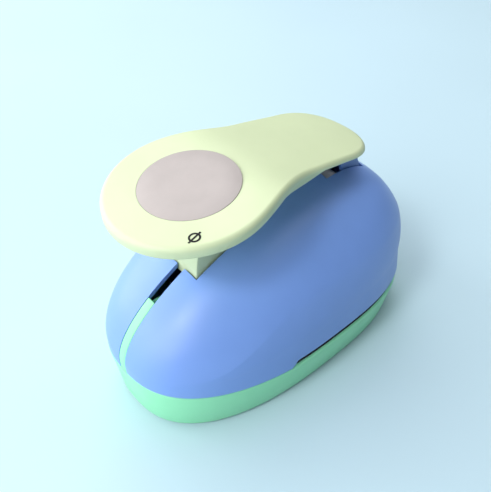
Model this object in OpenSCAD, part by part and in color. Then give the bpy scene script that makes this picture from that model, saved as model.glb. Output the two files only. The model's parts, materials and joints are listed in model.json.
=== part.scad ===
// Lever-operated craft punch for large circles.
// Millimetres, +Z up, nose towards -Y, floor at Z = 0, origin under the middle of the body.

/* [Body] */
// Length of the body, nose to tail
body_l = 176; // [172:1:184]
// Greatest width of the body
body_w = 106; // [105:1:112]
// How far behind the middle the body is widest
widest_y = 13; // [11:1:15]
// Height of the top of the dome
dome_top = 95; // [94:1:98]
// Y of the top of the dome
dome_top_y = 33; // [31:1:35]
// Wall thickness of the top shell
shell_wall = 2.8; // [2.4:0.1:3]
// Height of the seam between base and dome at the nose
seam_nose_z = 29.7; // [29:0.1:31]
// Height of the outer lip of the base beside the paper gap
lip_z = 22.5; // [21.5:0.1:23.5]
// How far the ridge along the dome's sides stands proud
ridge_h = 1.1; // [0.5:0.1:1.5]

/* [Paper gap] */
// Y where the paper gap starts
gap_y = -23; // [-25:1:-20]
// Height of the die plate's top, which the paper lies on
paper_z = 26.2; // [26:0.1:26.4]
// Height of the paper gap
gap_h = 1.8; // [1.6:0.1:2]

/* [Slot and rib] */
// Width of the slot in the nose
slot_w = 5.4; // [5.2:0.1:6]
// Angle round the nose profile where the mint rib ends, in degrees
rib_top_angle = 31.5; // [28:0.5:34]

/* [Cutter] */
// Radius of the cut circle, half of three inches
die_r = 38.1; // [38:0.1:38.2]
// Y of the centre of the cut circle
die_y = 33; // [32:1:34]
// Radial clearance of the cutter in the die and the guide
die_fit = 0.05; // [0.03:0.01:0.08]

/* [Lever] */
// Radius of the press pad
pad_r = 38.4; // [37.4:0.2:39.4]
// Y of the middle of the press pad
pad_y = -40.8; // [-41.8:0.2:-39.8]
// Height of the press pad's top at its middle
pad_z = 119.3; // [118.5:0.1:120]
// Tilt of the press pad, nose down, in degrees
pad_tilt = 6.4; // [6:0.1:7]
// Half width of the lever's neck
neck_hw = 26.8; // [25.8:0.2:27.8]
// Half width of the rear tongue
tongue_hw = 26; // [25.8:0.1:27.8]
// Y of the tongue's end
tongue_end_y = 60.5; // [59.5:0.5:61.5]
// Slope of the tongue, tail down, in degrees
tongue_slope = 10.8; // [10.4:0.1:11.2]
// Radius of the sample disc in the pad
disc_r = 22.8; // [22:0.1:23.5]
// Half width of the stem
stem_hw = 10.7; // [10:0.1:11]

/* [Hinge] */
// Y of the hinge pin
pin_y = 62; // [61.5:0.1:62.5]
// Height of the hinge pin
pin_z = 68; // [67.5:0.1:68.5]
// Radius of the hinge pin
pin_r = 3; // [2.8:0.1:3.2]

/* [Hidden] */
$fn = 64;

half_w = body_w / 2;
half_l = body_l / 2;
nose_run = half_l + widest_y;
tail_run = half_l - widest_y;
nose_n = 2.5;               // superellipse exponents of the plan
tail_n = 2.9;
seam_slope = 0.093;
gap_ramp = 4;               // length over which the dome's edge rises into the gap
guide_z = paper_z + gap_h;  // underside of the guide plate and edge of the dome
deck_z = paper_z - 1.6;    // the plates stand proud of the moulded deck
plate_t = 3;
die_z = paper_z - plate_t;
guide_top = guide_z + plate_t;
skirt_nose_z = 35.5;        // where the upright skirt ends at nose and tail
skirt_tail_z = 44.8;
tail_in = 0.03;
ring_n = 72;
ridge_row = 3;
dome_rows = 14;
seam_fit = 0.04;

// ---- shared maths ------------------------------------------------------------------------
function smooth(t) = t <= 0 ? 0 : t >= 1 ? 1 : t * t * (3 - 2 * t);
function mix(a, b, t) = a + (b - a) * t;
function spow(v, e) = sign(v) * pow(abs(v), e);

// Point of the body's plan at angle a, moved in by inset; a = -90 is the nose.
function plan_pt(a, inset) =
    let (s = sin(a), n = s < 0 ? nose_n : tail_n, run = s < 0 ? nose_run : tail_run)
    [(half_w - inset) * spow(cos(a), 2 / n), widest_y + (run - inset) * spow(s, 2 / n)];
function ring_angle(i) = -90 + i * 360 / ring_n;
function plan_ring(inset) = [for (i = [0:ring_n - 1]) plan_pt(ring_angle(i), inset)];

// 0 ahead of the paper gap, 1 beside it.
function gap_t(y) = smooth((y - gap_y) / gap_ramp);
function seam_z(y) = max(lip_z, seam_nose_z - seam_slope * (y + half_l));
function dome_low_z(y) = mix(seam_z(y) + seam_fit, guide_z, gap_t(y));

// Dome rows: row 0 tops the skirt, ridge_row is the ridge, the last row is near the top.
function ridge_angle(y) = mix(4, 25, smooth((y + 70) / 50));
function row_angle(j, y) = j <= ridge_row
    ? ridge_angle(y) * j / ridge_row
    : mix(ridge_angle(y), 88, (j - ridge_row) / (dome_rows - ridge_row));
function swell(j, y) = ridge_h * smooth((y + 78) / 40)
    * (j <= ridge_row ? j / ridge_row : max(0, 1 - (j - ridge_row) / 5));
function dome_at(a, f, wall, lift) =
    let (p = plan_pt(a, wall),
        u = (p.y + half_l) / body_l,
        b = smooth(u),
        s = pow(cos(f), mix(1.19, 0.82, b)) * (1 + lift / half_w),
        w = pow(sin(f), mix(1.07, 1, b)),
        d = 1 - tail_in * max(0, u),
        z0 = mix(skirt_nose_z, skirt_tail_z, u))
    [p.x * d * s, mix(dome_top_y, widest_y + (p.y - widest_y) * d, s),
        z0 + (dome_top - wall - z0) * w + lift / 2];
function dome_pt(a, j, wall) =
    let (y = plan_pt(a, wall).y) dome_at(a, row_angle(j, y), wall, swell(j, y));
function dome_ring(j, wall) = [for (i = [0:ring_n - 1]) dome_pt(ring_angle(i), j, wall)];
function edge_ring(inset, drop) = [for (i = [0:ring_n - 1])
    let (p = plan_pt(ring_angle(i), inset))
    [p.x, p.y, dome_low_z(plan_pt(ring_angle(i), 0).y) - drop]];
function dome_rings(wall, drop) =
    concat([edge_ring(wall, drop)], [for (j = [0:dome_rows]) dome_ring(j, wall)]);

// A ring of the base whose inset and height turn from front values to gap values.
function base_ring(inset_f, inset_g, rise_f, z_g) = [for (i = [0:ring_n - 1])
    let (y = plan_pt(ring_angle(i), 0).y, t = gap_t(y),
        p = plan_pt(ring_angle(i), mix(inset_f, inset_g, t)))
    [p.x, p.y, mix(seam_z(y) + rise_f, z_g, t)]];
function flat_ring(inset, z) =
    [for (i = [0:ring_n - 1]) let (p = plan_pt(ring_angle(i), inset)) [p.x, p.y, z]];

// Lever: height of its top and half width along Y.
pad_slope = tan(pad_tilt);
tongue_fall = tan(tongue_slope);
tongue_z = 112.4;           // height of the tongue's straight part at tongue_ref_y
tongue_ref_y = 34.6;
neck_y = 7.4;
tongue_y = 35.6;            // where the tongue's rounded end starts
bend = 1.8;                 // softness of the bend between pad and tongue
function pad_line(y) = pad_z + pad_slope * (y - pad_y);
function tongue_line(y) = tongue_z - tongue_fall * (y - tongue_ref_y);
function lever_z(y) = -bend * ln(exp(-pad_line(y) / bend) + exp(-tongue_line(y) / bend));
function lever_hw(y) = y < neck_y
    ? mix(pad_r, neck_hw, smooth((y - pad_y) / (neck_y - pad_y)))
    : mix(neck_hw, tongue_hw, smooth((y - neck_y) / (tongue_y - neck_y)));
function rim_depth(y) = mix(5.6, 3, smooth((y + 22) / 30));

lever_end_n = 2.3;
// Right half of the lever's plan, from front middle to rear middle.
function lever_half(inset) = concat(
    [for (a = [-90:7.5:-7.5]) [(pad_r - inset) * cos(a), pad_y + (pad_r - inset) * sin(a)]],
    [for (i = [0:12]) let (y = mix(pad_y, tongue_y, i / 12)) [lever_hw(y) - inset, y]],
    [for (a = [11.25:11.25:90]) [(tongue_hw - inset) * pow(cos(a), 2 / lever_end_n),
        tongue_y + (tongue_end_y - tongue_y - inset) * pow(sin(a), 2 / lever_end_n)]]);
function both_halves(h) = concat(h, [for (i = [len(h) - 2:-1:1]) [-h[i].x, h[i].y]]);
function lever_ring(inset, down, from_rim) = [for (p = both_halves(lever_half(inset)))
    [p.x, p.y, lever_z(p.y) - down - from_rim * rim_depth(p.y)]];

// Point at height z on a cylinder of radius r about the hinge pin, ahead of it.
function swing_pt(r, z) = [pin_y - sqrt(r * r - (z - pin_z) * (z - pin_z)), z];

// ---- shared shapes -----------------------------------------------------------------------
function turned(faces, yes) = yes ? [for (f = faces) [f[2], f[1], f[0]]] : faces;
function side_faces(n, first, rows, outward) = turned(
    [for (r = [first:first + rows - 2], i = [0:n - 1])
        let (p = r * n + i, q = r * n + (i + 1) % n)
        each [[p, p + n, q + n], [p, q + n, q]]], !outward);
function cap_faces(n, row, up) = turned(
    [for (i = [0:n / 2 - 1])
        let (r0 = row * n + i, r1 = r0 + 1, l0 = row * n + (n - i) % n, l1 = row * n + n - i - 1)
        each concat(i > 0 ? [[r0, l0, l1]] : [], i < n / 2 - 1 ? [[r0, l1, r1]] : [])], !up);

// Closed body through rings that mirror across X = 0; inner rings hollow it from below.
module loft(outer, inner = []) {
    n = len(outer[0]);
    a = len(outer);
    rim = [for (i = [0:n - 1]) let (j = (i + 1) % n) each [[i, j, a * n + j], [i, a * n + j, a * n + i]]];
    below = len(inner) == 0 ? cap_faces(n, 0, false)
        : concat(side_faces(n, a, len(inner), false), cap_faces(n, a + len(inner) - 1, false), rim);
    polyhedron(points = [for (r = concat(outer, inner)) each r],
        faces = concat(side_faces(n, 0, a, true), cap_faces(n, a - 1, true), below), convexity = 8);
}

// Prism of a Y-Z outline, centred on X = 0 and w wide.
module across(w) rotate([90, 0, 90]) translate([0, 0, -w / 2]) linear_extrude(w) children();
// Round bar along X, centred on x.
module cross_bar(x, y, z, r, w) translate([x - w / 2, y, z]) rotate([0, 90, 0]) cylinder(r = r, h = w);
module both_sides() for (s = [-1, 1]) scale([s, 1, 1]) children();
module at_points(pts) for (p = pts) translate([p.x, p.y, 0]) children();
module upright(r, z0, z1) translate([0, 0, z0]) cylinder(r = r, h = z1 - z0);
function mirrored(pts) = concat(pts, [for (p = pts) [-p.x, p.y]]);

// Plan of the steel plates: a disc round the die and a tail that reaches the throat.
plate_r = 43.5;
plate_front_y = -33;
plate_hw = 40;
throat_y = -12;
module plate_plan(grow = 0) {
    translate([0, die_y]) circle(r = plate_r + grow);
    translate([-plate_hw - grow, plate_front_y - grow])
        square([2 * (plate_hw + grow), 10 - plate_front_y + grow]);
}

nose_posts = mirrored([[28, -52]]);
throat_posts = mirrored([[35, -22]]);
frame_points = mirrored([[24, -28], [24, -17]]);
cover_points = mirrored([[16, -64], [37, -8]]);
cutter_points = [for (a = [45:90:315]) [22 * cos(a), die_y + 22 * sin(a)]];
screw_r = 1.5;
hole_fit = 0.3;
thread_fit = 0.05;
head_r = 3.2;

// ---- base --------------------------------------------------------------------------------
base_low_z = 1;
roof_z = 20.5;
chute_r = 39.2;
chute_wall = 2;
stop_y = -40;
stop_z = 34;

function rib_profile() = concat([[-half_l, seam_nose_z]],
    [for (f = [0:4.5:rib_top_angle]) let (p = dome_at(-90, f, 0, 0)) [p.y, p.z]]);

rib_step = 3.0;             // drop behind the rib's outer end
module nose_rib() {
    inner_y = -56;
    outer = rib_profile();
    top = outer[len(outer) - 1];
    across(slot_w - 0.4) polygon(concat([[-half_l + 4, deck_z - 2]], outer,
        [[top[0] + 0.6, top[1] - rib_step], [inner_y, top[1] - rib_step - 1], [inner_y, deck_z - 2]]));
}

module base_shell() color("#8fdcbb") difference() {
    union() {
        loft([flat_ring(4.2, base_low_z), flat_ring(2.9, base_low_z + 1.4),
            base_ring(0, 0, 0, lip_z), base_ring(3.1, 1.2, 0, deck_z - 0.6),
            base_ring(3.3, 2.6, 2.6, deck_z), base_ring(5.4, 5.4, 2.6, deck_z), flat_ring(5.6, deck_z)],
            [flat_ring(6.6, base_low_z), flat_ring(5.6, roof_z)]);
        nose_rib();
        translate([0, die_y, 0]) upright(chute_r + chute_wall, 1.2, roof_z + 1);
        at_points(concat(nose_posts, throat_posts)) upright(4.5, 3.4, roof_z + 1);
        at_points(cover_points) upright(3.5, 3.4, roof_z + 1);
        translate([0, stop_y, 0]) upright(6, deck_z - 1, stop_z);
    }
    translate([0, 0, die_z]) linear_extrude(10) plate_plan(0.25);
    translate([0, die_y, 0]) upright(chute_r, 0, die_z + 1);
    at_points(concat(nose_posts, throat_posts)) {
        upright(screw_r + hole_fit, 0, deck_z + 1);
        upright(head_r + hole_fit, 3, 5.6);
    }
    at_points(cover_points) upright(1.25, 3, 14);
}

module bottom_cover() color("#7fcfae") difference() {
    translate([0, 0, 1.2]) linear_extrude(2) polygon(plan_ring(6.9));
    translate([0, die_y, 0]) upright(chute_r + chute_wall + hole_fit, 0, 4);
    at_points(cover_points) {
        upright(1.4, 0, 4);
        upright(2.7, 0, 2.4);
    }
}

module foot_strip() color("#3c3f42") linear_extrude(1.2) difference() {
    polygon(plan_ring(7.6));
    polygon(plan_ring(11.2));
}

module cover_screws() color("silver") at_points(cover_points) {
    upright(1.2, 1.3, 12);
    difference() {
        upright(2.4, 1.3, 2.35);
        upright(0.9, 1, 1.9, $fn = 6);
    }
}

module down_stop() color("#333333") translate([0, stop_y, 0]) upright(5.5, stop_z, 39.6);

// ---- dome --------------------------------------------------------------------------------
hinge_gap = [33.5, 63.5];   // Y range of the opening that the lever arm passes through
hinge_gap_hw = 14;
stem_r = [91, 110.5];       // radii about the pin of the stem's rear and front faces
stem_gap = 0.8;

module stem_opening() difference() {
    cross_bar(0, pin_y, pin_z, stem_r[1] + stem_gap, 2 * (stem_hw + stem_gap));
    cross_bar(0, pin_y, pin_z, stem_r[0] - stem_gap, 2 * (stem_hw + stem_gap) + 2);
    translate([-50, pin_y - 60, -100]) cube([100, 300, 400]);
    translate([-50, -200, -100]) cube([100, 400, 100 + 60]);
}

module top_shell() color("#7fa6ea") {
    difference() {
        loft(dome_rings(0, 0), dome_rings(shell_wall, 0));
        translate([-slot_w / 2, -half_l - 5, 0]) cube([slot_w, half_l + 5 - 48, 150]);
        stem_opening();
        translate([-hinge_gap_hw, hinge_gap[0], 80])
            cube([2 * hinge_gap_hw, hinge_gap[1] - hinge_gap[0], 40]);
    }
    // screw posts that grow out of the shell's inner face
    difference() {
        intersection() {
            loft(dome_rings(shell_wall / 2, 5));
            union() {
                at_points(nose_posts) upright(4.5, deck_z + 0.05, 90);
                at_points(throat_posts) upright(4.5, guide_top + 0.05, 90);
            }
        }
        at_points(concat(nose_posts, throat_posts)) upright(screw_r + thread_fit, 0, 52);
    }
}

module body_screws() color("silver") at_points(concat(nose_posts, throat_posts)) {
    upright(screw_r, 5, 50);
    difference() {
        upright(head_r, 3.6, 5.55);
        upright(1.4, 3, 4.8, $fn = 6);
    }
}

// ---- frame -------------------------------------------------------------------------------
module plate_holes(z) {
    at_points(frame_points) upright(2 + thread_fit, z - 1, z + plate_t + 1);
    at_points(throat_posts) upright(screw_r + hole_fit, z - 1, z + plate_t + 1);
}

module die_plate() color("#b9bec4") difference() {
    translate([0, 0, die_z]) linear_extrude(plate_t) plate_plan();
    translate([0, die_y, 0]) upright(die_r, die_z - 1, paper_z + 1);
    plate_holes(die_z);
}

module throat_spacer() color("#c8ccd0") difference() {
    translate([-plate_hw, plate_front_y, paper_z]) cube([2 * plate_hw, throat_y - plate_front_y, gap_h]);
    plate_holes(paper_z);
}

barrel_in = 42;
barrel_out = 44.5;
barrel_top = 56;
ear_x = [15, 18];
module punch_frame() color("#9aa0a6") difference() {
    union() {
        translate([0, 0, guide_z]) linear_extrude(plate_t) plate_plan(0);
        translate([0, die_y, 0]) upright(barrel_out, guide_z, barrel_top);
        both_sides() translate([(ear_x[0] + ear_x[1]) / 2, 0, 0]) across(ear_x[1] - ear_x[0])
            polygon([[70.5, 54], [77, 54], [77, 61], [69, 75], [57, 75.5], [54.5, 68], [57, 61], [66, 57]]);
    }
    translate([0, die_y, 0]) {
        upright(die_r, guide_z - 1, guide_top + 1);
        upright(barrel_in, guide_top, barrel_top + 1);
    }
    plate_holes(guide_z);
    cross_bar(0, pin_y, pin_z, pin_r + 0.02, 60);
}

module frame_screws() color("#70757a") at_points(frame_points) {
    upright(2, die_z + 0.2, guide_top + 1);
    difference() {
        upright(3.8, guide_top, guide_top + 2.4);
        upright(1.7, guide_top + 1.2, guide_top + 3, $fn = 6);
    }
}

module retaining_ring() color("#55595d") translate([0, die_y, 52.4]) difference() {
    cylinder(r = barrel_in - 0.05, h = 1.2);
    translate([0, 0, -1]) cylinder(r = barrel_in - 2.5, h = 4);
}

// ---- cutter and plunger ------------------------------------------------------------------
cutter_low = guide_z + 0.4;
cutter_top = 40;
flange_z = [48, 52];
spring_wire = 1;
module cutter() color("#d5d8dc") translate([0, die_y, 0]) difference() {
    upright(die_r - die_fit, cutter_low, cutter_top);
    upright(die_r - 3.5, cutter_low - 1, cutter_top - 3);
    translate([0, -die_y, 0]) at_points(cutter_points) upright(2.1, 30, 60);
}

module plunger() color("#5c6167") difference() {
    translate([0, die_y, 0]) union() {
        upright(die_r - 0.6, cutter_top, flange_z[0] + 1);
        upright(barrel_in - 0.5, flange_z[0], flange_z[1]);
        upright(10.5, flange_z[1] - 1, 62.2);
    }
    at_points(cutter_points) {
        upright(2.1, 30, 60);
        upright(4, flange_z[1] - 2.6, 60);
    }
}

module cutter_screws() color("silver") at_points(cutter_points) {
    upright(2, cutter_top - 2.6, flange_z[1] - 2.5);
    difference() {
        upright(3.6, flange_z[1] - 2.6, flange_z[1] - 0.3);
        upright(1.6, flange_z[1] - 1.4, flange_z[1], $fn = 6);
    }
}

module wear_pad() color("#a8adb2") translate([0, die_y, 0]) upright(9, 62.2, 63.7);

// Coil that pushes the plunger's flange up from the guide plate.
coil_turns = 3.5;
coil_low = guide_top + spring_wire + 0.05;
coil_high = flange_z[0] - spring_wire - 0.05;
module return_spring() color("#8d9196") {
    steps = 70;
    sides = 6;
    coil_r = 40;
    pts = [for (i = [0:steps], k = [0:sides - 1])
        let (a = 360 * coil_turns * i / steps, b = 360 * k / sides, r = coil_r + spring_wire * cos(b))
        [r * cos(a), die_y + r * sin(a), mix(coil_low, coil_high, i / steps) + spring_wire * sin(b)]];
    walls = [for (i = [0:steps - 1], k = [0:sides - 1])
        let (p = i * sides + k, q = i * sides + (k + 1) % sides)
        each [[p, q + sides, q], [p, p + sides, q + sides]]];
    polyhedron(points = pts, convexity = 10, faces = concat(walls,
        [[for (k = [0:sides - 1]) k]], [[for (k = [sides - 1:-1:0]) steps * sides + k]]));
}

// ---- hinge -------------------------------------------------------------------------------
module hinge_pin() color("silver") cross_bar(0, pin_y, pin_z, pin_r, 41);

module pin_clips() color("#606468") both_sides() difference() {
    cross_bar(18.7, pin_y, pin_z, 5.5, 1);
    cross_bar(18.7, pin_y, pin_z, pin_r + 0.02, 3);
}

module pivot_washers() color("#e8e8e4") both_sides() difference() {
    cross_bar(14.1, pin_y, pin_z, 6, 1.4);
    cross_bar(14.1, pin_y, pin_z, pin_r + 0.05, 3);
}

// ---- lever -------------------------------------------------------------------------------
roof_t = 2.4;               // thickness of the handle's top wall
spine_z = 109;              // flat underside of the spine
roof_fit = 0.25;            // room between the roof and what is fixed under it
disc_t = 0.6;
disc_deep = 0.45;
roller_y = die_y;
roller_z = 70;
roller_r = 6;
mark_r = 2.6;
mark_at = [27, -59.2];
mark_turn = 100;

module on_pad(x, y) translate([x, y, pad_line(y)]) rotate([pad_tilt, 0, 0]) children();

module handle() color("#eef6cf") difference() {
    loft([lever_ring(1, 0, 1), lever_ring(0, -1.2, 1), lever_ring(0, 2.6, 0), lever_ring(0.8, 0.9, 0),
        lever_ring(2.6, 0, 0)],
        [lever_ring(3, 0, 1), lever_ring(3, roof_t, 0)]);
    on_pad(0, pad_y) translate([0, 0, -disc_deep]) cylinder(r = disc_r + 0.15, h = 5);
    for (p = arm_points) at_points([p]) upright(1.6, 80, tongue_line(p.y) - 1);
}

arm_points = mirrored([[7, 38], [7, 48]]);
flange_t = 2;
function roof_line(y0, y1, step) = [for (y = [y1:-step:y0]) [y, lever_z(y) - roof_t - roof_fit]];

// A beam down the middle, and a curtain that hangs inside the rim along the neck.
curtain_y = [-23, 46];
curtain_drop = [6.9, 2.4];  // below the roof's edge, at the pad and along the tongue
curtain_t = 2.2;
function curtain_ends(y) = smooth((y - curtain_y[0]) / 9) * smooth((curtain_y[1] - y) / 8);
function curtain_low(y) = lever_z(y) - 3.1
    - mix(curtain_drop[0], curtain_drop[1], smooth(y / 24)) * curtain_ends(y);
module handle_spine() color("#e6efc4") {
    across(2 * stem_hw) polygon(concat([[-54, spine_z], [30, spine_z]], roof_line(-54, 30, 6)));
    intersection() {
        translate([0, 0, 90]) linear_extrude(40) difference() {
            polygon(both_halves(lever_half(3.1)));
            polygon(both_halves(lever_half(3.1 + curtain_t)));
        }
        across(80) polygon(concat([for (y = [curtain_y[0]:3:curtain_y[1]]) [y, curtain_low(y)]],
            roof_line(curtain_y[0], curtain_y[1], 6)));
    }
}

module lever_stem() color("#e9f3c8") {
    low_z = 70.5;
    leg_z = 60;
    steps = 10;
    across(2 * stem_hw) polygon(concat(
        [for (i = [0:steps]) swing_pt(stem_r[1], mix(low_z, spine_z, i / steps))],
        [for (i = [steps:-1:0]) swing_pt(stem_r[0], mix(low_z, spine_z, i / steps))]));
    across(12) polygon([swing_pt(104, leg_z), swing_pt(104, low_z + 1), swing_pt(93, low_z + 1),
        swing_pt(93, leg_z)]);
}

// Bent steel yoke: two side plates on the pin, joined by a flange screwed under the tongue.
arm_x = [11.2, 13.2];
arm_mid = (arm_x[0] + arm_x[1]) / 2;
module on_tongue(y) translate([0, y, tongue_line(y) - roof_t - roof_fit]) rotate([-tongue_slope, 0, 0]) children();
module arm_side() difference() {
    translate([arm_mid, 0, 0]) across(arm_x[1] - arm_x[0]) {
        hull() {
            translate([pin_y, pin_z]) circle(r = 7, $fn = 32);
            translate([roller_y, roller_z]) circle(r = 7, $fn = 32);
        }
        hull() {
            translate([pin_y, pin_z]) circle(r = 7, $fn = 32);
            for (y = [42, 52]) translate([y, tongue_line(y) - roof_t - 1.5]) circle(r = 1, $fn = 16);
        }
    }
    cross_bar(0, pin_y, pin_z, pin_r + 0.05, 60);
    cross_bar(0, roller_y, roller_z, 2.52, 60);
}
module lever_arm() color("#b0b5ba") {
    both_sides() arm_side();
    difference() {
        on_tongue(34) translate([-arm_mid, 0, -flange_t]) cube([2 * arm_mid, 19, flange_t]);
        at_points(arm_points) upright(1.6, 80, 130);
    }
}

module arm_screws() color("silver") for (p = arm_points) {
    top = tongue_line(p.y) - roof_t - roof_fit;
    at_points([p]) upright(1.5, top - flange_t - 1, top + 1.4);
    at_points([p]) upright(2.9, top - flange_t - 2.6, top - flange_t - 0.85);
}

module pivot_sleeve() color("#d8d8d2") difference() {
    cross_bar(0, pin_y, pin_z, 5, 22.2);
    cross_bar(0, pin_y, pin_z, pin_r + 0.05, 30);
}

module press_roller() color("#c0c4c8") difference() {
    cross_bar(0, roller_y, roller_z, roller_r, 20);
    cross_bar(0, roller_y, roller_z, 2.55, 30);
}

module roller_pin() color("silver") cross_bar(0, roller_y, roller_z, 2.5, 29);

module sample_disc() color("#cfc6c6") on_pad(0, pad_y)
    translate([0, 0, -disc_deep]) cylinder(r = disc_r, h = disc_t);

// Printed size mark: a ring crossed by a bar.
module size_mark() color("#202020") on_pad(mark_at[0], mark_at[1]) translate([0, 0, 0.02]) {
    difference() {
        cylinder(r = mark_r, h = 0.15);
        translate([0, 0, -1]) cylinder(r = mark_r - 0.7, h = 3);
    }
    rotate([0, 0, mark_turn]) translate([-mark_r * 1.4, -0.35, 0]) cube([mark_r * 2.8, 0.7, 0.15]);
}

base_shell();
bottom_cover();
foot_strip();
top_shell();
die_plate();
throat_spacer();
punch_frame();
retaining_ring();
return_spring();
frame_screws();
body_screws();
cover_screws();
down_stop();
hinge_pin();
pin_clips();
pivot_washers();
handle();
handle_spine();
lever_stem();
lever_arm();
arm_screws();
pivot_sleeve();
press_roller();
roller_pin();
sample_disc();
size_mark();
cutter();
plunger();
cutter_screws();
wear_pad();
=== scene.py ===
"""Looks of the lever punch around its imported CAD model. +Z up, nose towards -Y.

Shapes are worked out in millimetres and turned into metres when a mesh is made.
"""
import json
import math

import bmesh
import bpy
from mathutils import Matrix, Vector


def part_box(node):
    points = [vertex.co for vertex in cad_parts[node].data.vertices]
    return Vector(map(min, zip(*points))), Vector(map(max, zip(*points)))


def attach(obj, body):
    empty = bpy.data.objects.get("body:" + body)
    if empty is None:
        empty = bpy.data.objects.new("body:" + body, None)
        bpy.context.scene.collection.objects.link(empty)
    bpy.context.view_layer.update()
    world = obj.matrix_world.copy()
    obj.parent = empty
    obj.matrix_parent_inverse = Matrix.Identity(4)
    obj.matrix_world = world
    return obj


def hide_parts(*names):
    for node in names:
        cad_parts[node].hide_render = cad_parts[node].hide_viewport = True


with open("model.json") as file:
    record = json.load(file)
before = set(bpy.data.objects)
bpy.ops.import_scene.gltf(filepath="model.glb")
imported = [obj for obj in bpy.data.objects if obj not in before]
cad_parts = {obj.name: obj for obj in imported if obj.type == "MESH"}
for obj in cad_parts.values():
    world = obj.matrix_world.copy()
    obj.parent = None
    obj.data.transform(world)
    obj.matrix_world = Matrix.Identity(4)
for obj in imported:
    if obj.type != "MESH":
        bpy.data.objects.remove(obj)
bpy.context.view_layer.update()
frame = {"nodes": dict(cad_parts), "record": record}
MM = 0.001


def box_mm(node):
    lo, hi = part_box(node)
    return lo / MM, hi / MM


# ---- sizes taken from the frame -----------------------------------------------------------
base_hi = box_mm("base_shell")[1]
shell_hi = box_mm("top_shell")[1]
handle_lo, handle_hi = box_mm("handle")
stem_lo, stem_hi = box_mm("lever_stem")
pin_lo, pin_hi = box_mm("hinge_pin")
plate_lo, plate_hi = box_mm("die_plate")
guide_lo = box_mm("punch_frame")[0]
disc_hi = box_mm("sample_disc")[1]
cutter_lo, cutter_hi = box_mm("cutter")
stop_lo, stop_hi = box_mm("down_stop")

HALF_W = base_hi.x
HALF_L = base_hi.y
DOME_TOP = shell_hi.z
PAPER_Z = plate_hi.z
GUIDE_Z = guide_lo.z
PIN = Vector((0, (pin_lo.y + pin_hi.y) / 2, (pin_lo.z + pin_hi.z) / 2))
DIE = Vector((0, (cutter_lo.y + cutter_hi.y) / 2, 0))
STEM_HW = stem_hi.x
PAD_R = handle_hi.x
PAD_Y = handle_lo.y + PAD_R
TONGUE_END = handle_hi.y
STOP_Y = (stop_lo.y + stop_hi.y) / 2
DISC_R = disc_hi.x

# ---- body shape, as in the CAD source -----------------------------------------------------
WIDEST_Y = 13
NOSE_N, TAIL_N = 2.5, 2.9
DOME_TOP_Y = 33
WALL = 2.8
DECK_Z = PAPER_Z - 1.6
LIP_Z = 22.5
SEAM_NOSE, SEAM_SLOPE = 29.7, 0.093
GAP_Y, GAP_RAMP = -23, 4
SKIRT_NOSE, SKIRT_TAIL = 35.5, 44.8
TAIL_IN = 0.03
RIDGE_H = 1.1
SLOT_W = 5.4
RIB_TOP_ANGLE = 31.5
RIB_STEP = 3
STEM_R = (91, 110.5)
STEM_GAP = 0.8
STEM_LOW_Z = 70.5           # the stem narrows to its leg below this height
LEG_R, LEG_W = (93, 104), 12
HINGE_GAP = (33.5, 63.5)
HINGE_GAP_HW = 14
AROUND = 360
DOME_ROWS = 72


def smooth(t):
    t = min(1, max(0, t))
    return t * t * (3 - 2 * t)


def mix(a, b, t):
    return a + (b - a) * t


def spow(v, e):
    return math.copysign(abs(v) ** e, v)


def plan_pt(a, inset):
    """Point of the body's plan at angle a in degrees, moved in by inset; -90 is the nose."""
    s, c = math.sin(math.radians(a)), math.cos(math.radians(a))
    n = NOSE_N if s < 0 else TAIL_N
    run = HALF_L + WIDEST_Y if s < 0 else HALF_L - WIDEST_Y
    return (HALF_W - inset) * spow(c, 2 / n), WIDEST_Y + (run - inset) * spow(s, 2 / n)


def ring_angles():
    return [-90 + i * 360 / AROUND for i in range(AROUND)]


def gap_t(y):
    """0 ahead of the paper gap, 1 beside it."""
    return smooth((y - GAP_Y) / GAP_RAMP)


def seam_z(y):
    return max(LIP_Z, SEAM_NOSE - SEAM_SLOPE * (y + HALF_L))


def dome_low_z(y):
    return mix(seam_z(y) + 0.04, GUIDE_Z, gap_t(y))


def ridge_angle(y):
    return mix(4, 25, smooth((y + 70) / 50))


def swell(f, y):
    """How far the dome stands out at angle f to make the soft ridge along its sides."""
    ridge = ridge_angle(y)
    above = (f - ridge) / (88 - ridge) * 11 / 5
    share = f / ridge if f < ridge else max(0, 1 - above)
    return RIDGE_H * smooth((y + 78) / 40) * share


def dome_at(a, f, wall, lift):
    x, y = plan_pt(a, wall)
    u = (y + HALF_L) / (2 * HALF_L)
    b = smooth(u)
    s = math.cos(math.radians(f)) ** mix(1.19, 0.82, b) * (1 + lift / HALF_W)
    w = math.sin(math.radians(f)) ** mix(1.07, 1, b)
    d = 1 - TAIL_IN * max(0, u)
    z0 = mix(SKIRT_NOSE, SKIRT_TAIL, u)
    return (x * d * s, mix(DOME_TOP_Y, WIDEST_Y + (y - WIDEST_Y) * d, s),
            z0 + (DOME_TOP - wall - z0) * w + lift / 2)


def dome_rows(wall, rows):
    """Rings from the top of the skirt to the top of the dome; one ring lies on the ridge."""
    low = rows // 4
    rings = []
    for j in range(rows + 1):
        ring = []
        for a in ring_angles():
            y = plan_pt(a, wall)[1]
            ridge = ridge_angle(y)
            f = ridge * j / low if j <= low else mix(ridge, 88, (j - low) / (rows - low))
            ring.append(dome_at(a, f, wall, swell(f, y)))
        rings.append(ring)
    return rings


def edge_ring(inset, rise):
    return [(*plan_pt(a, inset), dome_low_z(plan_pt(a, 0)[1]) + rise) for a in ring_angles()]


def flat_ring(inset, z):
    return [(*plan_pt(a, inset), z) for a in ring_angles()]


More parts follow.
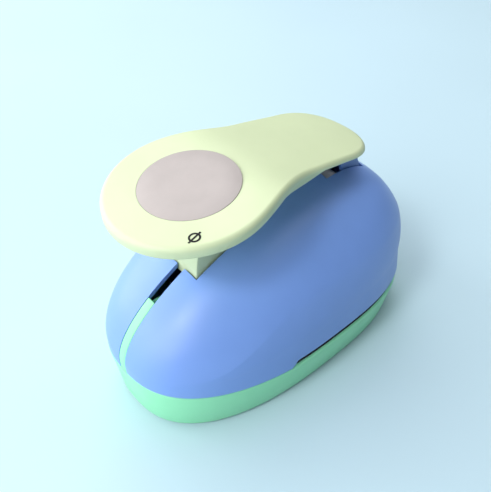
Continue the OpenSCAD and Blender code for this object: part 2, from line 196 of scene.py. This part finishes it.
# ---- lever shape, as in the CAD source ----------------------------------------------------
PAD_Z, PAD_TILT = 119.3, 6.4
NECK_HW, NECK_Y = 26.8, 7.4
TONGUE_HW, TONGUE_Y = 26, 35.6
TONGUE_REF = (34.6, 112.4)
TONGUE_SLOPE = 10.8
END_N = 2.3
BEND = 1.8
ROOF_T = 2.4
ROOF_FIT = 0.25
SPINE_Z = 109
DISC_DEEP = 0.45


def pad_line(y):
    return PAD_Z + math.tan(math.radians(PAD_TILT)) * (y - PAD_Y)


def lever_z(y):
    tongue = TONGUE_REF[1] - math.tan(math.radians(TONGUE_SLOPE)) * (y - TONGUE_REF[0])
    return -BEND * math.log(math.exp(-pad_line(y) / BEND) + math.exp(-tongue / BEND))


def lever_hw(y):
    if y < NECK_Y:
        return mix(PAD_R, NECK_HW, smooth((y - PAD_Y) / (NECK_Y - PAD_Y)))
    return mix(NECK_HW, TONGUE_HW, smooth((y - NECK_Y) / (TONGUE_Y - NECK_Y)))


def rim_depth(y):
    return mix(5.6, 3, smooth((y + 22) / 30))


def lever_plan(inset):
    """The whole outline of the lever, anticlockwise from the front middle."""
    half = []
    for a in range(-90, 0, 2):
        r = math.radians(a)
        half.append(((PAD_R - inset) * math.cos(r), PAD_Y + (PAD_R - inset) * math.sin(r)))
    for i in range(61):
        y = mix(PAD_Y, TONGUE_Y, i / 60)
        half.append((lever_hw(y) - inset, y))
    for i in range(1, 41):
        r = math.radians(i * 90 / 40)
        half.append(((TONGUE_HW - inset) * abs(math.cos(r)) ** (2 / END_N),
                     TONGUE_Y + (TONGUE_END - TONGUE_Y - inset) * math.sin(r) ** (2 / END_N)))
    return half + [(-x, y) for x, y in half[-2:0:-1]]


def lever_ring(inset, down, from_rim=0):
    return [(x, y, lever_z(y) - down - from_rim * rim_depth(y)) for x, y in lever_plan(inset)]


# ---- mesh helpers -------------------------------------------------------------------------
def add_object(name, mesh):
    obj = bpy.data.objects.new(name, mesh)
    bpy.context.scene.collection.objects.link(obj)
    return obj


def mesh_object(name, points, faces):
    mesh = bpy.data.meshes.new(name)
    mesh.from_pydata([Vector(p) * MM for p in points], [], faces)
    mesh.validate()
    bm = bmesh.new()
    bm.from_mesh(mesh)
    bmesh.ops.remove_doubles(bm, verts=bm.verts, dist=1e-7)
    bmesh.ops.recalc_face_normals(bm, faces=bm.faces)
    bm.to_mesh(mesh)
    bm.free()
    return add_object(name, mesh)


def loft(name, rings, ends="fan"):
    """Closed skin through rings. ends: fan to a middle point, strips across X, or loop."""
    n = len(rings[0])
    points = [p for ring in rings for p in ring]
    faces = []
    spans = len(rings) if ends == "loop" else len(rings) - 1
    for r in range(spans):
        a, b = r * n, (r + 1) % len(rings) * n
        faces += [(a + i, a + (i + 1) % n, b + (i + 1) % n, b + i) for i in range(n)]
    if ends == "strips":
        for row in (0, len(rings) - 1):
            base = row * n
            faces += [(base + i, base + (n - i) % n, base + (n - i - 1) % n, base + i + 1)
                      if i > 0 else (base, base + n - 1, base + 1) for i in range(n // 2)]
    if ends == "fan":
        for row in (0, len(rings) - 1):
            middle = len(points)
            points.append(tuple(sum(p[k] for p in rings[row]) / n for k in range(3)))
            faces += [(row * n + i, row * n + (i + 1) % n, middle) for i in range(n)]
    return mesh_object(name, points, faces)


def lathe(name, profile, centre=(0, 0), steps=160):
    """Closed ring or disc from (radius, height) points; a radius of 0 closes it on the axis."""
    points, faces = [], []
    for r, z in profile:
        for i in range(steps):
            a = 2 * math.pi * i / steps
            points.append((centre[0] + r * math.cos(a), centre[1] + r * math.sin(a), z))
    count = len(profile)
    closed = profile[0][0] > 0
    for k in range(count if closed else count - 1):
        a, b = k * steps, (k + 1) % count * steps
        faces += [(a + i, a + (i + 1) % steps, b + (i + 1) % steps, b + i) for i in range(steps)]
    return mesh_object(name, points, faces)


def prism(name, outline, width, z=None):
    """Outline in Y-Z made width thick across X, or in X-Y from z up by width."""
    n = len(outline)
    if z is None:
        points = [(s * width / 2, p[0], p[1]) for s in (-1, 1) for p in outline]
    else:
        points = [(p[0], p[1], z + h) for h in (0, width) for p in outline]
    faces = [tuple(range(n)), tuple(range(n, 2 * n))]
    faces += [(i, (i + 1) % n, n + (i + 1) % n, n + i) for i in range(n)]
    return mesh_object(name, points, faces)


def circle(r, x=0, y=0, steps=160, start=0, sweep=360):
    return [(x + r * math.cos(math.radians(start + sweep * i / steps)),
             y + r * math.sin(math.radians(start + sweep * i / steps))) for i in range(steps)]


def apply_modifiers(obj):
    bpy.context.view_layer.update()
    shape = obj.evaluated_get(bpy.context.evaluated_depsgraph_get())
    mesh = bpy.data.meshes.new_from_object(shape)
    obj.modifiers.clear()
    obj.data = mesh
    return obj


def combine(obj, tools, operation="DIFFERENCE"):
    for tool in tools:
        step = obj.modifiers.new("cut", "BOOLEAN")
        step.operation = operation
        step.solver = "EXACT"
        step.object = tool
    apply_modifiers(obj)
    for tool in tools:
        bpy.data.objects.remove(tool)
    return obj


def shade(obj, angle=32):
    obj.data.shade_smooth()
    obj.data.set_sharp_from_angle(angle=math.radians(angle))
    return obj


def soften(obj, width, segments=3, angle=35):
    """Rounds the edges that turn more than angle."""
    step = obj.modifiers.new("round", "BEVEL")
    step.width = width * MM
    step.segments = segments
    step.limit_method = "ANGLE"
    step.angle_limit = math.radians(angle)
    step.harden_normals = False
    apply_modifiers(obj)
    return shade(obj, 50)


def softened_node(node, width):
    """A finer copy of a CAD node with its edges rounded."""
    mesh = frame["nodes"][node].data.copy()
    mesh.materials.clear()
    bm = bmesh.new()
    bm.from_mesh(mesh)
    bmesh.ops.remove_doubles(bm, verts=bm.verts, dist=2e-6)
    bmesh.ops.dissolve_limit(bm, angle_limit=math.radians(1), verts=bm.verts, edges=bm.edges)
    bm.to_mesh(mesh)
    bm.free()
    return soften(add_object(node + "_piece", mesh), width, 2, 40)


# ---- materials ----------------------------------------------------------------------------
def srgb(r, g, b):
    return tuple((c / 255 / 12.92 if c / 255 <= 0.04045 else ((c / 255 + 0.055) / 1.055) ** 2.4)
                 for c in (r, g, b)) + (1.0,)


class Nodes:
    """Short way to build one material's node tree."""

    def __init__(self, name):
        self.material = bpy.data.materials.new(name)
        self.material.use_nodes = True
        self.tree = self.material.node_tree
        self.shader = self.tree.nodes["Principled BSDF"]
        self.coords = self.tree.nodes.new("ShaderNodeTexCoord").outputs["Object"]

    def link(self, source, target):
        self.tree.links.new(source, target)

    def noise(self, scale, detail=4.0, roughness=0.55, stretch=None):
        node = self.tree.nodes.new("ShaderNodeTexNoise")
        node.inputs["Scale"].default_value = scale
        node.inputs["Detail"].default_value = detail
        node.inputs["Roughness"].default_value = roughness
        source = self.coords
        if stretch:
            place = self.tree.nodes.new("ShaderNodeMapping")
            place.inputs["Scale"].default_value = stretch
            self.link(source, place.inputs["Vector"])
            source = place.outputs["Vector"]
        self.link(source, node.inputs["Vector"])
        return node.outputs["Fac"]

    def ramp(self, fac, stops):
        node = self.tree.nodes.new("ShaderNodeValToRGB")
        ramp = node.color_ramp
        while len(ramp.elements) < len(stops):
            ramp.elements.new(0.5)
        for element, (place, colour) in zip(ramp.elements, stops):
            element.position = place
            element.color = colour
        self.link(fac, node.inputs["Fac"])
        return node.outputs["Color"]

    def span(self, fac, low, high, from_low=0.3, from_high=0.7):
        node = self.tree.nodes.new("ShaderNodeMapRange")
        node.inputs["From Min"].default_value = from_low
        node.inputs["From Max"].default_value = from_high
        node.inputs["To Min"].default_value = low
        node.inputs["To Max"].default_value = high
        self.link(fac, node.inputs["Value"])
        return node.outputs["Result"]

    def bump(self, height, strength, distance):
        node = self.tree.nodes.new("ShaderNodeBump")
        node.inputs["Strength"].default_value = strength
        node.inputs["Distance"].default_value = distance
        self.link(height, node.inputs["Height"])
        if self.shader.inputs["Normal"].is_linked:
            self.link(self.shader.inputs["Normal"].links[0].from_socket, node.inputs["Normal"])
        self.link(node.outputs["Normal"], self.shader.inputs["Normal"])


def tint(colour, factor):
    return tuple(min(1, c * factor) for c in colour[:3]) + (1.0,)


def plastic(name, colour, rough=(0.34, 0.44), glow=0.0, grain=0.35):
    """Moulded plastic: faint colour mottling, spark-eroded grain and uneven gloss."""
    m = Nodes(name)
    cloud = m.noise(28, 3)
    m.link(m.ramp(cloud, [(0.3, tint(colour, 0.965)), (0.55, colour), (0.75, tint(colour, 1.03))]),
           m.shader.inputs["Base Color"])
    m.link(m.span(m.noise(75, 5), *rough), m.shader.inputs["Roughness"])
    m.bump(m.noise(2600, 2), grain, 0.00003)
    m.bump(m.noise(16, 2), 0.12, 0.0006)
    m.shader.inputs["Specular IOR Level"].default_value = 0.5
    if glow:
        m.shader.inputs["Subsurface Weight"].default_value = glow
        m.shader.inputs["Subsurface Radius"].default_value = (0.004, 0.0045, 0.003)
        m.shader.inputs["Subsurface Scale"].default_value = 1.0
    return m.material


def metal(name, colour, rough=(0.25, 0.42), stretch=(1, 1, 1), scale=420, bump=0.25):
    """Metal with drawn or ground lines that run across the stretch."""
    m = Nodes(name)
    lines = m.noise(scale, 6, 0.7, stretch)
    m.link(m.ramp(lines, [(0.25, tint(colour, 0.78)), (0.6, colour), (0.8, tint(colour, 1.12))]),
           m.shader.inputs["Base Color"])
    m.link(m.span(lines, *rough), m.shader.inputs["Roughness"])
    m.shader.inputs["Metallic"].default_value = 1.0
    m.bump(lines, bump, 0.00004)
    return m.material


def rubber(name, colour):
    m = Nodes(name)
    dust = m.noise(140, 5)
    m.link(m.ramp(dust, [(0.35, colour), (0.62, tint(colour, 1.5)), (0.85, tint(colour, 2.6))]),
           m.shader.inputs["Base Color"])
    m.link(m.span(dust, 0.65, 0.9), m.shader.inputs["Roughness"])
    m.bump(m.noise(1900, 3), 0.5, 0.00006)
    return m.material


def printed_disc(name, colour):
    """Printed label stock: fine paper tooth and a faint unevenness in the ink."""
    m = Nodes(name)
    ink = m.noise(38, 6, 0.65)
    m.link(m.ramp(ink, [(0.3, tint(colour, 0.93)), (0.5, colour), (0.75, tint(colour, 1.06))]),
           m.shader.inputs["Base Color"])
    m.link(m.span(m.noise(60, 4), 0.42, 0.58), m.shader.inputs["Roughness"])
    m.bump(m.noise(3200, 4, 0.7), 0.3, 0.00002)
    return m.material


def floor_material(name, colour):
    m = Nodes(name)
    m.link(m.ramp(m.noise(3, 2), [(0.35, tint(colour, 0.985)), (0.65, tint(colour, 1.015))]),
           m.shader.inputs["Base Color"])
    m.shader.inputs["Roughness"].default_value = 0.85
    m.shader.inputs["Specular IOR Level"].default_value = 0.2
    return m.material


LOOKS = {
    "mint_plastic": plastic("mint_plastic", srgb(146, 228, 180)),
    "blue_plastic": plastic("blue_plastic", srgb(123, 160, 230), rough=(0.34, 0.42)),
    "cream_plastic": plastic("cream_plastic", srgb(203, 216, 177), rough=(0.42, 0.52), glow=0.06),
    "disc_print": printed_disc("disc_print", srgb(174, 166, 164)),
    "mark_ink": rubber("mark_ink", srgb(14, 14, 16)),
    "foot_rubber": rubber("foot_rubber", srgb(52, 54, 56)),
    "stop_rubber": rubber("stop_rubber", srgb(38, 38, 38)),
    "washer_nylon": plastic("washer_nylon", srgb(226, 226, 220), glow=0.1),
    "plate_steel": metal("plate_steel", srgb(178, 182, 188), stretch=(1, 30, 1)),
    # Blue enamel on the lever arm is a guessed colour; its darker tone copies the dome's blue in
    # shade, so part of it is painted shade.
    "arm_enamel": plastic("arm_enamel", srgb(86, 124, 190), rough=(0.36, 0.46), grain=0.6),
    "frame_steel": metal("frame_steel", srgb(150, 154, 158), rough=(0.35, 0.55), scale=160),
    "cutter_steel": metal("cutter_steel", srgb(200, 202, 206), rough=(0.12, 0.28),
                          stretch=(1, 1, 26)),
    "spring_steel": metal("spring_steel", srgb(150, 152, 156), rough=(0.2, 0.35)),
    "screw_zinc": metal("screw_zinc", srgb(206, 208, 208), rough=(0.18, 0.3), scale=700),
    "pin_steel": metal("pin_steel", srgb(196, 198, 202), rough=(0.1, 0.22), stretch=(30, 1, 1)),
    "plunger_alloy": metal("plunger_alloy", srgb(120, 124, 130), rough=(0.4, 0.6), scale=240),
}
SLOT_OF = {s["node"]: s["material_slot"] for s in frame["record"]["subparts"]}
BODY_OF = {n: b for b, members in frame["record"]["behaviour"]["bodies"].items() for n in members}


def finish_piece(obj, node, *replaced):
    """Gives a piece its node's material slot and body, and hides the nodes that it stands for."""
    slot = SLOT_OF[node]
    obj.data.materials.clear()
    obj.data.materials.append(LOOKS[slot])
    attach(obj, BODY_OF[node])
    if replaced:
        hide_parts(*replaced)
    return obj


# ---- camera -------------------------------------------------------------------------------
CAMERA_AZIMUTH, CAMERA_ELEVATION = 48.31, 42.47
CAMERA_AT = (0.1699, -0.1600, 0.2719)
SENSOR_MM = 36
LENS_MM = 43.9


def add_camera():
    a, e = math.radians(CAMERA_AZIMUTH), math.radians(CAMERA_ELEVATION)
    right = Vector((math.cos(a), math.sin(a), 0))
    up = Vector((-math.sin(a) * math.sin(e), math.cos(a) * math.sin(e), math.cos(e)))
    back = Vector((math.sin(a) * math.cos(e), -math.cos(a) * math.cos(e), math.sin(e)))
    data = bpy.data.cameras.new("camera")
    data.lens = LENS_MM
    data.sensor_width = SENSOR_MM
    data.clip_start = 0.01
    camera = bpy.data.objects.new("camera", data)
    bpy.context.scene.collection.objects.link(camera)
    turn = Matrix((right, up, back)).transposed().to_4x4()
    camera.matrix_world = Matrix.Translation(CAMERA_AT) @ turn
    bpy.context.scene.camera = camera


add_camera()


# ---- base ---------------------------------------------------------------------------------
NOSE_POSTS = [(28, -52), (-28, -52)]
THROAT_POSTS = [(35, -22), (-35, -22)]
COVER_POINTS = [(16, -64), (-16, -64), (37, -8), (-37, -8)]
SCREW_R = 1.8               # clearance of the body screws
BOSS_R = 4.5
BOSS_STEP_Z = 5.6           # the screw heads sit below this height
BOSS_LOW_Z = 3.4
CHUTE_R = 39.2
ROOF_Z = 20.5
PLATE_R, PLATE_HW, PLATE_FRONT = 43.5, 40, plate_lo.y


def rim_ring(front, side):
    """Ring that follows the seam in front and the paper gap's lip beside it."""
    ring = []
    for a in ring_angles():
        y0 = plan_pt(a, 0)[1]
        t = gap_t(y0)
        x, y = plan_pt(a, mix(front[0], side[0], t))
        ring.append((x, y, mix(seam_z(y0) + front[1], side[1], t)))
    return ring


def plate_outline(grow):
    reach = math.degrees(math.asin((10 - DIE.y) / (PLATE_R + grow)))
    hw = PLATE_HW + grow
    arc = circle(PLATE_R + grow, DIE.x, DIE.y, 120, reach, 180 - 2 * reach)
    left = 180 - reach
    arc.append((DIE.x + (PLATE_R + grow) * math.cos(math.radians(left)), 10))
    return arc + [(-hw, 10), (-hw, PLATE_FRONT - grow), (hw, PLATE_FRONT - grow), (hw, 10)]


def build_base():
    front = [(0, -0.7), (0.1, -0.3), (0.35, -0.06), (0.8, 0), (3.0, 0), (3.25, 0.3), (3.3, 2.2),
             (3.55, 2.6), (5.1, 2.6), (5.4, 2.4)]
    rise = DECK_Z - LIP_Z
    side = [(0, LIP_Z - 0.8), (0.06, LIP_Z - 0.1), (0.25, LIP_Z + 0.35 * rise),
            (0.6, LIP_Z + 0.65 * rise), (1.05, LIP_Z + 0.86 * rise), (1.6, LIP_Z + 0.97 * rise),
            (2.2, DECK_Z), (3.3, DECK_Z), (5.1, DECK_Z), (5.4, DECK_Z)]
    foot = [(6.4, 1), (4.7, 1), (4.0, 1.25), (3.3, 1.9), (2.9, 2.9)]
    outside = [flat_ring(inset, z) for inset, z in foot]
    outside += [rim_ring(f, s) for f, s in zip(front, side)]
    outside += [flat_ring(5.7, DECK_Z)]
    base = loft("base_tub", [flat_ring(6.3, ROOF_Z)] + outside, "fan")
    cutters = [prism("pocket", plate_outline(0.25), 10, plate_lo.z),
               lathe("chute", [(0, 0), (CHUTE_R, 0), (CHUTE_R, 30), (0, 30)], (DIE.x, DIE.y))]
    hole = [(0, 0), (SCREW_R, 0), (SCREW_R, 40), (0, 40)]
    cutters += [lathe("hole", hole, p, 40) for p in NOSE_POSTS + THROAT_POSTS]
    combine(base, cutters)
    shade(base)
    return finish_piece(base, "base_shell", "base_shell")


def tube(name, r_in, r_out, z0, z1, centre, edge=0.4, steps=160):
    """Ring with small rounds on its four edges."""
    e = edge
    section = [(r_in, z0 + e), (r_in + e, z0), (r_out - e, z0), (r_out, z0 + e),
               (r_out, z1 - e), (r_out - e, z1), (r_in + e, z1), (r_in, z1 - e)]
    return shade(lathe(name, section, centre, steps), 50)


def post(name, r, z0, z1, centre, edge=0.5, steps=64):
    e = edge
    return lathe(name, [(0, z0), (r - e, z0), (r, z0 + e), (r, z1 - e), (r - 0.3 * e, z1 - 0.3 * e),
                        (r - e, z1), (0, z1)], centre, steps)


def join(objects, name):
    first, rest = objects[0], objects[1:]
    bm = bmesh.new()
    for obj in objects:
        bm.from_mesh(obj.data)
    bm.to_mesh(first.data)
    bm.free()
    for obj in rest:
        bpy.data.objects.remove(obj)
    first.name = name
    return first


def build_base_inside():
    chute = tube("chute_tube", CHUTE_R, CHUTE_R + 2, 1.2, ROOF_Z, (DIE.x, DIE.y))
    finish_piece(chute, "base_shell")
    bosses = [tube("boss", SCREW_R, BOSS_R, BOSS_STEP_Z, ROOF_Z, p, 0.3, 64)
              for p in NOSE_POSTS + THROAT_POSTS]
    bosses += [tube("boss", 3.5, BOSS_R, BOSS_LOW_Z, BOSS_STEP_Z, p, 0.3, 64)
               for p in NOSE_POSTS + THROAT_POSTS]
    bosses += [tube("boss", 1.25, 3.5, BOSS_LOW_Z, ROOF_Z, p, 0.3, 64) for p in COVER_POINTS]
    finish_piece(shade(join(bosses, "screw_bosses"), 50), "base_shell")
    stop_post = shade(post("stop_post", 6, DECK_Z, stop_lo.z, (0, STOP_Y)), 50)
    finish_piece(stop_post, "base_shell")


# Painted shade: a dark rubber-coloured strip laid in the paper gap where the gap is only in shadow.
SHADE_STRIP_INSET = (1.1, 7.5)
SHADE_STRIP_T = 0.35
SHADE_STRIP_SUNK = 0.45
SHADE_STRIP_START_Y = GAP_Y + 2.2


def build_painted_gap_shade():
    """Thin dark strip on the deck inside the paper gap: painted shade, a dark sheet that stands in
    for the shadow inside the gap.
    """
    along = [a for a in ring_angles() if plan_pt(a, 0)[1] >= SHADE_STRIP_START_Y]
    e = 0.1
    near, far = SHADE_STRIP_INSET
    section = [(near, -SHADE_STRIP_SUNK), (near, SHADE_STRIP_T - e), (near + e, SHADE_STRIP_T),
               (far - e, SHADE_STRIP_T), (far, SHADE_STRIP_T - e), (far, -SHADE_STRIP_SUNK)]
    n = len(section)
    points = [(*plan_pt(a, inset), DECK_Z + up) for a in along for inset, up in section]
    faces = [(n * i + k, n * i + (k + 1) % n, n * i + n + (k + 1) % n, n * i + n + k)
             for i in range(len(along) - 1) for k in range(n)]
    faces += [tuple(range(n)), tuple(range(n * (len(along) - 1), n * len(along)))]
    return finish_piece(shade(mesh_object("painted_gap_shade", points, faces), 50), "down_stop")


def build_rib():
    outer = [(-HALF_L, SEAM_NOSE + 0.05)]
    for i in range(29):
        p = dome_at(-90, RIB_TOP_ANGLE * i / 28, 0, 0)
        outer.append((p[1], p[2]))
    top = outer[-1]
    outline = [(-HALF_L + 4, DECK_Z)] + outer
    outline += [(top[0] + 0.6, top[1] - RIB_STEP), (-56, top[1] - RIB_STEP - 1), (-56, DECK_Z)]
    rib = prism("nose_rib", outline, SLOT_W - 0.4)
    soften(rib, 0.45, 3, 40)
    return finish_piece(rib, "base_shell")


# ---- dome ---------------------------------------------------------------------------------
def swing_pt(r, z):
    """Point at height z on a circle of radius r about the hinge pin, ahead of it."""
    return PIN.y - math.sqrt(r * r - (z - PIN.z) ** 2), z


def arc_band(r0, r1, z0, z1, steps=48):
    return ([swing_pt(r1, mix(z0, z1, i / steps)) for i in range(steps + 1)]
            + [swing_pt(r0, mix(z1, z0, i / steps)) for i in range(steps + 1)])


def build_dome():
    outer = dome_rows(0, DOME_ROWS)
    inner = dome_rows(WALL, DOME_ROWS // 2)
    edge_in = [edge_ring(WALL, 0.25), edge_ring(WALL - 0.3, 0)]
    edge_out = [edge_ring(0.9, 0), edge_ring(0.42, 0.08), edge_ring(0.12, 0.36), edge_ring(0, 0.9)]
    dome = loft("dome_shell", inner[::-1] + edge_in + edge_out + outer, "fan")
    slot = prism("slot", [(-HALF_L - 5, 0), (-48, 0), (-48, 150), (-HALF_L - 5, 150)], SLOT_W)
    stem = prism("stem_opening", arc_band(STEM_R[0] - STEM_GAP, STEM_R[1] + STEM_GAP, 60, 110),
                 2 * (STEM_HW + STEM_GAP))
    hinge = prism("hinge_opening", [(HINGE_GAP[0], 80), (HINGE_GAP[1], 80), (HINGE_GAP[1], 120),
                                    (HINGE_GAP[0], 120)], 2 * HINGE_GAP_HW)
    combine(dome, [slot, stem, hinge])
    shade(dome, 38)
    return finish_piece(dome, "top_shell", "top_shell")


# ---- lever --------------------------------------------------------------------------------
EDGE_R = 2.4
RIM_T = 3


def build_handle():
    under = [lever_ring(inset, down, 1) for inset, down in
             ((RIM_T, -0.3), (RIM_T - 0.1, -0.1), (RIM_T - 0.3, 0), (0.7, 0), (0.3, -0.12),
              (0.08, -0.35), (0, -0.55))]
    top = []
    for i in range(9):
        t = math.radians(i * 90 / 8)
        top.append(lever_ring(EDGE_R * (1 - math.cos(t)), EDGE_R * (1 - math.sin(t))))
    handle = loft("press_handle", [lever_ring(RIM_T + 0.4, ROOF_T)] + under + top, "strips")
    r = DISC_R + 0.15
    recess = lathe("recess", [(0, -DISC_DEEP), (r, -DISC_DEEP), (r, 5), (0, 5)])
    place_on_pad(recess, 0, PAD_Y)
    combine(handle, [recess])
    shade(handle, 30)
    return finish_piece(handle, "handle", "handle")


def place_on_pad(obj, x, y):
    """Puts a piece made about the origin on the pad's sloping top, in its mesh."""
    place = Matrix.Translation(Vector((x, y, pad_line(y))) * MM)
    obj.data.transform(place @ Matrix.Rotation(math.radians(PAD_TILT), 4, "X"))
    return obj


def build_disc():
    r, top, low = DISC_R, 0.14, -DISC_DEEP
    section = [(0, low), (r - 0.1, low), (r, low + 0.1), (r, top - 0.16), (r - 0.05, top - 0.05),
               (r - 0.16, top), (r * 0.6, top), (0, top)]
    disc = lathe("sample_print", section, steps=240)
    place_on_pad(disc, 0, PAD_Y)
    shade(disc, 40)
    return finish_piece(disc, "sample_disc", "sample_disc")


MARK_AT = (27, -59.2)
MARK_R = 2.6
MARK_TURN = 100
MARK_LINE = 0.85


def build_mark():
    r_in = MARK_R - MARK_LINE
    ring = lathe("ring", [(r_in, 0.03), (MARK_R, 0.03), (MARK_R, 0.12), (r_in, 0.12)], steps=96)
    reach, half = MARK_R * 1.4, MARK_LINE / 2
    outline = [(-reach, -half), (reach, -half), (reach, half), (-reach, half)]
    bar = prism("bar", outline, 0.09, 0.035)
    bar.data.transform(Matrix.Rotation(math.radians(MARK_TURN), 4, "Z"))
    mark = join([ring, bar], "diameter_mark")
    place_on_pad(mark, *MARK_AT)
    return finish_piece(shade(mark, 40), "size_mark", "size_mark")


def build_stem():
    block = prism("stem_block", arc_band(*STEM_R, STEM_LOW_Z, SPINE_Z), 2 * STEM_HW)
    soften(block, 0.7, 3, 40)
    leg = prism("stem_leg", arc_band(*LEG_R, stem_lo.z, STEM_LOW_Z + 1, 12), LEG_W)
    soften(leg, 0.5, 2, 40)
    stem = shade(join([block, leg], "press_stem"), 50)
    return finish_piece(stem, "lever_stem", "lever_stem")


CURTAIN_Y = (-23, 46)
CURTAIN_DROP = (6.9, 2.4)
CURTAIN_TOP = 3.1
CURTAIN_T = 2.2
CURTAIN_INSET = 3.1


def curtain_low(y):
    """Lower edge of the wall inside the rim: deep beside the neck, shallow along the tongue."""
    ends = smooth((y - CURTAIN_Y[0]) / 9) * smooth((CURTAIN_Y[1] - y) / 8)
    return lever_z(y) - CURTAIN_TOP - mix(*CURTAIN_DROP, smooth(y / 24)) * ends


def build_curtain(side):
    """One side of the wall that hangs inside the rim along the neck."""
    points, faces = [], []
    steps = 69
    for i in range(steps + 1):
        y = mix(*CURTAIN_Y, i / steps)
        hw = lever_hw(y)
        if y > TONGUE_Y:
            share = (y - TONGUE_Y) / (TONGUE_END - TONGUE_Y - CURTAIN_INSET)
            hw = TONGUE_HW * (1 - share ** END_N) ** (1 / END_N)
        x_out, x_in = hw - CURTAIN_INSET, hw - CURTAIN_INSET - CURTAIN_T
        top, low = lever_z(y) - ROOF_T - ROOF_FIT, curtain_low(y)
        section = [(x_out, top), (x_out, low + 0.5), (x_out - 0.15, low + 0.15), (x_out - 0.5, low),
                   (x_in + 0.5, low), (x_in + 0.15, low + 0.15), (x_in, low + 0.5), (x_in, top)]
        points += [(side * x, y, min(z, top)) for x, z in section]
    for i in range(steps):
        a, b = 8 * i, 8 * i + 8
        faces += [(a + k, a + (k + 1) % 8, b + (k + 1) % 8, b + k) for k in range(8)]
    faces += [tuple(range(8)), tuple(range(8 * steps, 8 * steps + 8))]
    return mesh_object("curtain", points, faces)


def build_spine():
    steps = 28
    outline = [(-54, SPINE_Z), (30, SPINE_Z)]
    along = [mix(30, -54, i / steps) for i in range(steps + 1)]
    outline += [(y, lever_z(y) - ROOF_T - ROOF_FIT) for y in along]
    beam = prism("beam", outline, 2 * STEM_HW)
    soften(beam, 0.6, 3, 40)
    spine = shade(join([beam, build_curtain(1), build_curtain(-1)], "lever_spine"), 50)
    return finish_piece(spine, "handle_spine", "handle_spine")


# ---- everything else ----------------------------------------------------------------------
def build_inner_parts():
    widths = {"bottom_cover": 0.35, "foot_strip": 0.3, "die_plate": 0.25, "throat_spacer": 0.15,
              "punch_frame": 0.4, "lever_arm": 0.3, "hinge_pin": 0.4,
              "pin_clips": 0.2, "pivot_washers": 0.2, "pivot_sleeve": 0.25, "press_roller": 0.5,
              "roller_pin": 0.4, "cutter": 0.12, "plunger": 0.5, "wear_pad": 0.3,
              "retaining_ring": 0.2, "down_stop": 0.6}
    for node, width in widths.items():
        finish_piece(softened_node(node, width), node, node)
    for node, obj in frame["nodes"].items():
        obj.data.materials.clear()
        obj.data.materials.append(LOOKS[SLOT_OF[node]])


build_base()
build_base_inside()
build_painted_gap_shade()
build_rib()
build_dome()
build_handle()
build_disc()
build_mark()
build_stem()
build_spine()
build_inner_parts()


# ---- studio -------------------------------------------------------------------------------
FLOOR_COLOUR = srgb(188, 214, 226)
FLOOR_HALF = 3000
WORLD_COLOUR = (0.88, 0.95, 1.0, 1)
WORLD_STRENGTH = 0.165


def build_floor():
    h = FLOOR_HALF
    floor = prism("floor", [(-h, -h), (h, -h), (h, h), (-h, h)], 10, -10)
    floor.data.materials.append(floor_material("floor_paper", FLOOR_COLOUR))


def area_light(name, at, size, power):
    data = bpy.data.lights.new(name, "AREA")
    data.shape = "DISK"
    data.size = size
    data.energy = power
    light = bpy.data.objects.new(name, data)
    bpy.context.scene.collection.objects.link(light)
    light.location = at
    light.rotation_euler = (Vector((0, 0, 0.05)) - Vector(at)).to_track_quat("-Z", "Y").to_euler()


def build_lights():
    area_light("left", (-1.8, -0.5, 0.6), 1.6, 17)
    area_light("left_front", (-1.4, -1.3, 1.15), 1.8, 18)
    area_light("front", (0.2, -1.7, 1.0), 1.6, 22)
    area_light("top", (-0.1, 0.5, 2.2), 1.8, 15)
    area_light("rear_left", (-1.3, 0.6, 1.6), 1.6, 15.5)
    area_light("low_front", (-0.7, -1.9, 0.5), 1.2, 6)
    area_light("window", (0.06, -1.25, 1.6), 0.45, 11)
    world = bpy.data.worlds.new("studio")
    world.use_nodes = True
    background = world.node_tree.nodes["Background"]
    background.inputs["Color"].default_value = WORLD_COLOUR
    background.inputs["Strength"].default_value = WORLD_STRENGTH
    bpy.context.scene.world = world


build_floor()
build_lights()
bpy.context.scene.view_settings.view_transform = "Standard"
